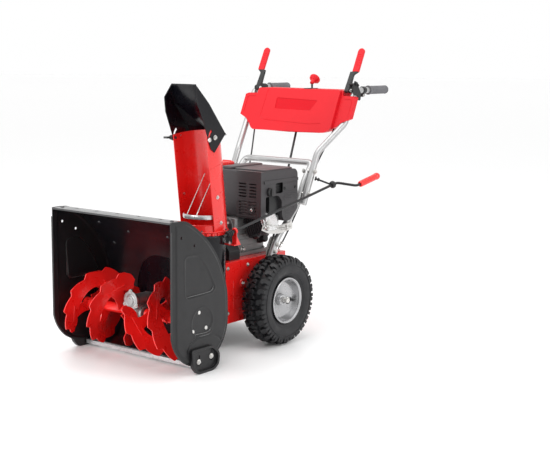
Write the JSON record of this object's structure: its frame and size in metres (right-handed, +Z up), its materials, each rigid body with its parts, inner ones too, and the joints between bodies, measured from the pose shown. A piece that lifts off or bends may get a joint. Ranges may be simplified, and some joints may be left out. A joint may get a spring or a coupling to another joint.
{
  "type": "two stage snowblower",
  "caption": "Walk behind two stage snowblower: toothed auger in a steel intake housing, impeller, turning discharge chute, engine, two driven wheels and a handle with controls.",
  "frame": {"origin": "middle of the bounding box on the ground, under the machine", "axes": "+Z up, +Y from the intake towards the operator, +X to the side of the chute crank (the operator's left)"},
  "size_m": [0.696, 1.322, 1.0928],
  "materials": {
    "black_paint": "satin black powder coat",
    "housing_paint": "glossy black powder coat",
    "red_paint": "glossy red paint",
    "panel_red": "satin moulded red plastic",
    "engine_black": "satin moulded plastic",
    "black_plastic": "satin moulded plastic",
    "cable_rubber": "matte",
    "grip_rubber": "matte, ribbed",
    "tyre_rubber": "matte with a smooth sidewall",
    "rim_silver": "silver paint",
    "plated_steel": "zinc plated",
    "tube_steel": "satin plated",
    "engine_casting": "as cast",
    "gear_casting": "as cast",
    "pulley_iron": "machined"
  },
  "bodies": {
    "chassis": {"housing_shell": "housing_paint", "side_plate_left": "black_paint", "side_plate_right": "black_paint", "scraper_bar": "plated_steel", "skid_shoe_left": "black_paint", "skid_shoe_right": "black_paint", "auger_bearing_left": "pulley_iron", "auger_bearing_right": "pulley_iron", "gearbox_case": "gear_casting", "gearbox_cover": "plated_steel", "impeller_drum": "black_paint", "tractor_frame": "red_paint", "belt_cover": "black_plastic", "auger_belt": "cable_rubber", "crankcase": "engine_casting", "cylinder_block": "engine_casting", "valve_cover": "plated_steel", "side_cover": "engine_black", "muffler_guard": "engine_black", "muffler": "plated_steel", "fuel_tank": "engine_black", "recoil_cover": "engine_black", "crank_eyebolt": "plated_steel", "worm_bracket": "red_paint", "handle_frame": "tube_steel", "handle_tube_left": "tube_steel", "handle_tube_right": "tube_steel", "grip_left": "grip_rubber", "grip_right": "grip_rubber", "control_panel": "panel_red", "lever_bracket_left": "black_paint", "lever_bracket_right": "black_paint", "clutch_cable_left": "cable_rubber", "clutch_cable_right": "cable_rubber"},
    "auger": {"auger_left": "red_paint", "auger_right": "red_paint", "auger_shaft": "plated_steel"},
    "impeller": {"impeller": "red_paint", "impeller_shaft": "plated_steel", "impeller_pulley": "pulley_iron"},
    "crankshaft": {"crankshaft": "pulley_iron"},
    "wheels": {"axle": "plated_steel", "tyre_left": "tyre_rubber", "tyre_right": "tyre_rubber", "rim_left": "rim_silver", "rim_right": "rim_silver"},
    "chute": {"chute_ring": "red_paint", "chute": "red_paint", "chute_guard": "plated_steel"},
    "deflector": {"deflector": "black_paint"},
    "deflector_knob": {"deflector_knob": "black_plastic"},
    "crank": {"crank_rod": "black_paint"},
    "crank_grip": {"crank_grip": "panel_red"},
    "clutch_lever_left": {"clutch_lever_left": "panel_red"},
    "clutch_lever_right": {"clutch_lever_right": "panel_red"},
    "shift_lever": {"shift_lever": "panel_red"},
    "shift_rod": {"shift_rod": "black_paint"},
    "fuel_cap": {"fuel_cap": "panel_red"},
    "choke_knob": {"choke_knob": "black_plastic"},
    "starter_handle": {"starter_handle": "black_plastic"}
  },
  "joints": [
    {"name": "impeller_turn", "type": "hinge", "parent": "chassis", "child": "impeller", "pos_m": [-0.0487, -0.311, 0.207], "axis": [0, 1, 0], "continuous": true},
    {"name": "auger_turn", "type": "hinge", "parent": "chassis", "child": "auger", "pos_m": [-0.0487, -0.523, 0.169], "axis": [1, 0, 0], "continuous": true},
    {"name": "crankshaft_turn", "type": "hinge", "parent": "chassis", "child": "crankshaft", "pos_m": [-0.0487, -0.141, 0.424], "axis": [0, 1, 0], "continuous": true},
    {"name": "wheels_turn", "type": "hinge", "parent": "chassis", "child": "wheels", "pos_m": [-0.0487, -0.029, 0.166], "axis": [1, 0, 0], "continuous": true},
    {"name": "crank_turn", "type": "hinge", "parent": "chassis", "child": "crank", "pos_m": [0.1513, -0.266, 0.437], "axis": [0.1161, 0.9644, 0.2375], "range_deg": [-1140, 1140]},
    {"name": "chute_turn", "type": "hinge", "parent": "chassis", "child": "chute", "pos_m": [0.0453, -0.281, 0.441], "axis": [0, 0, 1], "range_deg": [-95, 95]},
    {"name": "crank_grip_turn", "type": "hinge", "parent": "crank", "child": "crank_grip", "pos_m": [0.3204, 0.28565, 0.57287], "axis": [0.1161, 0.9644, 0.2375], "continuous": true},
    {"name": "deflector_tilt", "type": "hinge", "parent": "chute", "child": "deflector", "pos_m": [0.0453, -0.32, 0.778], "axis": [1, 0, 0], "range_deg": [0, 60]},
    {"name": "deflector_knob_turn", "type": "hinge", "parent": "chute", "child": "deflector_knob", "pos_m": [-0.0387, -0.349, 0.771], "axis": [1, 0, 0], "continuous": true},
    {"name": "clutch_lever_left_press", "type": "hinge", "parent": "chassis", "child": "clutch_lever_left", "pos_m": [0.1793, 0.424, 0.927], "axis": [1, 0, 0], "range_deg": [-50, 0], "stiffness_Nm_per_rad": 2, "springref_deg": 20.05},
    {"name": "clutch_lever_right_press", "type": "hinge", "parent": "chassis", "child": "clutch_lever_right", "pos_m": [-0.2767, 0.424, 0.927], "axis": [1, 0, 0], "range_deg": [-50, 0], "stiffness_Nm_per_rad": 2, "springref_deg": 20.05},
    {"name": "shift_lever_move", "type": "hinge", "parent": "chassis", "child": "shift_lever", "pos_m": [-0.0137, 0.447, 0.8], "axis": [1, 0, 0], "range_deg": [-10, 10]},
    {"name": "shift_rod_slide", "type": "slide", "parent": "chassis", "child": "shift_rod", "axis": [-0.145, 0.4988, 0.8545], "range_m": [-0.008, 0.008]},
    {"name": "fuel_cap_turn", "type": "hinge", "parent": "chassis", "child": "fuel_cap", "pos_m": [-0.1187, 0.039, 0.64], "axis": [0, 0, 1], "range_deg": [0, 120]},
    {"name": "choke_turn", "type": "hinge", "parent": "chassis", "child": "choke_knob", "pos_m": [0.1513, -0.039, 0.563], "axis": [1, 0, 0], "range_deg": [0, 90]},
    {"name": "starter_pull", "type": "slide", "parent": "chassis", "child": "starter_handle", "axis": [0, 1, 0], "range_m": [0, 0.5], "stiffness_N_per_m": 20, "springref_m": -0.5}
  ],
  "couplings": [
    {"joint": "auger_turn", "follows": "impeller_turn", "ratio": 0.1},
    {"joint": "chute_turn", "follows": "crank_turn", "ratio": 0.083333},
    {"joint": "shift_rod_slide", "follows": "shift_lever_move", "m_per_rad": -0.044286}
  ]
}
